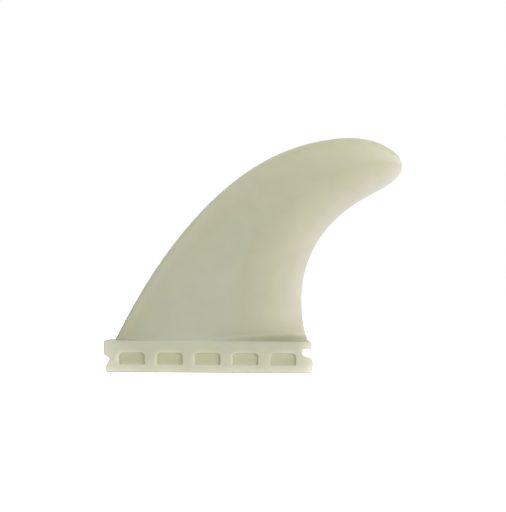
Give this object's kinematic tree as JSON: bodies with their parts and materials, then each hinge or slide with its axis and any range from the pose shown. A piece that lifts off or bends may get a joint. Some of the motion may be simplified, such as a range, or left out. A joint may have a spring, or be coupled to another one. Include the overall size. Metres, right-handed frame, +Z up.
{
  "type": "surfboard fin",
  "caption": "Raked surfboard side fin with a foiled outer face, a flat inner face and a cored-out mounting tab for a single-tab fin box.",
  "frame": {"origin": "centre of the mounting tab's bottom face", "axes": "+X aft along the tab, from the leading end to the trailing end; +Z up out of the board, towards the crown of the blade; the foiled outer face looks towards -Y"},
  "size_m": [0.1617, 0.0144, 0.1281],
  "materials": {
    "moulded_nylon": "natural, translucent glass-filled nylon with a fine satin moulded skin"
  },
  "bodies": {
    "root": {"fin": "moulded_nylon"}
  },
  "joints": []
}
